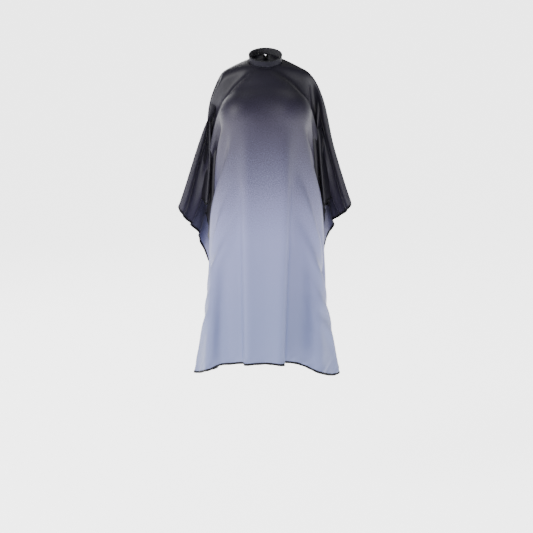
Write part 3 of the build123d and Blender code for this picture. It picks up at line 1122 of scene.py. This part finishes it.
def make_tab(satin, lining, thread):
    """The tab's two layers and stitches, and a patch that bends between the band and the tab."""
    tab_out = OUTER_OUT + 3.1 * MM

    def outer(angle):
        half = tab_half(angle)
        return rounded_outline(tab_out - 0.9 * MM, tab_out - 0.2 * MM, -half, half, 0.2 * MM)

    def inner(angle):
        half = tab_half(angle) - 0.5 * MM
        return rounded_outline(OUTER_OUT + 1.4 * MM, OUTER_OUT + 2.1 * MM, -half, half)

    span, body = (TAB_END, TAB_START), "closing_tab"
    swept("closing_tab_satin", outer, *span, satin, "band_fabric", body, "closing_tab_outer")
    swept("closing_tab_inner", inner, *span, lining, "lining_fabric", body, "closing_tab_lining")

    inset = 2.2 * MM
    angles = np.radians(np.linspace(TAB_END + 2.6, TAB_START - 2, 60))
    halves = np.array([tab_half(angle) for angle in angles]) - inset
    loop_angles = np.concatenate([angles[::-1], angles])
    loop_heights = np.concatenate([halves[::-1], -halves])
    line = band_points(tab_out, loop_angles, loop_heights)
    normals = band_points(1, loop_angles, 0)
    rows = [(line, normals, 0.02 * MM)]
    make_stitches("closing_tab_stitches", rows, body, thread)

    root_start, root_end = 124.0, 111.0

    def root(angle):
        t = min(max((120 - math.degrees(angle)) / 4, 0), 1)
        lift = 3.2 * MM * t * t * (3 - 2 * t)
        inside = OUTER_OUT + 0.15 * MM + lift
        return rounded_outline(inside, inside + 0.5 * MM, -9 * MM, 8 * MM)

    patch = swept("closing_tab_root", root, root_end, root_start, satin, "band_fabric", body=None)
    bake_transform(patch)


def make_label(satin):
    """A blank care label: a looped tape folded at its foot, sewn in at the top."""
    low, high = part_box("care_label")
    radius, width = (low.x + high.x) / 2, 22 * MM
    top, length = -16.3 * MM, 32 * MM
    thick, gap = 0.22 * MM, 0.16 * MM
    down = np.linspace(0, 1, 16)
    sheet = [(-gap / 2 - thick, -t * (length - 0.5 * MM)) for t in down]
    foot, bend = 0.5 * (gap + 2 * thick), 0.3 * MM
    turns = np.linspace(-1.2, 1.2, 5)
    fold = [(foot * math.sin(a), -length + bend - bend * math.cos(a)) for a in turns]
    outside = sheet + fold + [(-x, z) for x, z in reversed(sheet)]
    inside = []
    for x, z in reversed(outside):
        inside.append((x * gap / (gap + 2 * thick), z + (thick if z < -length + 1 * MM else 0)))
    outline = outside + inside
    rings, uvs = [], []
    for y in np.linspace(-width / 2, width / 2, 13):
        ring, row = [], []
        for k, (x, z) in enumerate(outline):
            curl = 0.12 * MM * math.sin(y * 260 + 1) * (-z / length)
            ring.append((radius + x + curl, y, top + z))
            row.append((y + 0.02, z + 0.04))
        rings.append(ring)
        uvs.append(row)
    rings = np.array(rings)
    lean, upright = math.sin(TILT), math.cos(TILT)
    y, z = rings[..., 1].copy(), rings[..., 2].copy()
    rings[..., 1], rings[..., 2] = y * upright - z * lean, y * lean + z * upright
    points, faces = loft(rings)
    label = add_mesh("care_label_tape", points, faces, satin, np.concatenate(uvs))
    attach(label, "care_label")
    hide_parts("care_label")


def make_snaps(metal):
    for name in ("snap_caps", "snap_sockets", "snap_studs", "snap_posts"):
        node = frame["nodes"][name]
        for place in node.material_slots:
            place.material = metal
        if not node.material_slots:
            node.data.materials.append(metal)


def make_cloth(fabric, tape, thread):
    """The sheet, the bindings round its edges and the stitches through them."""
    pattern, points = drape()
    cape = cloth_mesh(pattern, points, fabric)
    pucker(cape)
    slit_a, outside, slit_b = edge_runs(cape)
    bindings = [
        make_binding("edge_binding_tape", "edge_binding", outside, tape),
        make_binding("slit_tape_left", "slit_binding_left", slit_a, tape),
        make_binding("slit_tape_right", "slit_binding_right", slit_b, tape),
    ]
    rows = []
    for run in (slit_a, outside, slit_b):
        line, normals = run.at(6.6 * MM)
        rows.append((line, normals, TAPE_HEIGHT))
        rows.append((line, -normals, TAPE_HEIGHT))
    stitches = make_stitches("binding_stitches", rows, "cape", thread)
    thick = cape.modifiers.new("thick", "SOLIDIFY")
    thick.thickness = CLOTH_THICK
    thick.offset = 0
    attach(cape, "cape")
    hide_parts("cape_cloth")


make_camera()
make_studio()
make_floor()
TAPE, SATIN, THREAD = tape_fabric(), band_satin(), stitch_thread()
LINING = matt_fabric("band_lining", (0.020, 0.020, 0.024), (0.036, 0.036, 0.042), 0.8 * MM)
FELT = matt_fabric("interlining_felt", (0.50, 0.49, 0.45), (0.66, 0.65, 0.60), 0.9 * MM)
LABEL = matt_fabric("label_satin", (0.74, 0.74, 0.73), (0.82, 0.82, 0.81), 0.4 * MM)
make_neckband(SATIN, TAPE, LINING, FELT, THREAD)
make_tab(SATIN, LINING, THREAD)
make_label(LABEL)
make_snaps(snap_metal())
make_cloth(cape_fabric(), TAPE, THREAD)
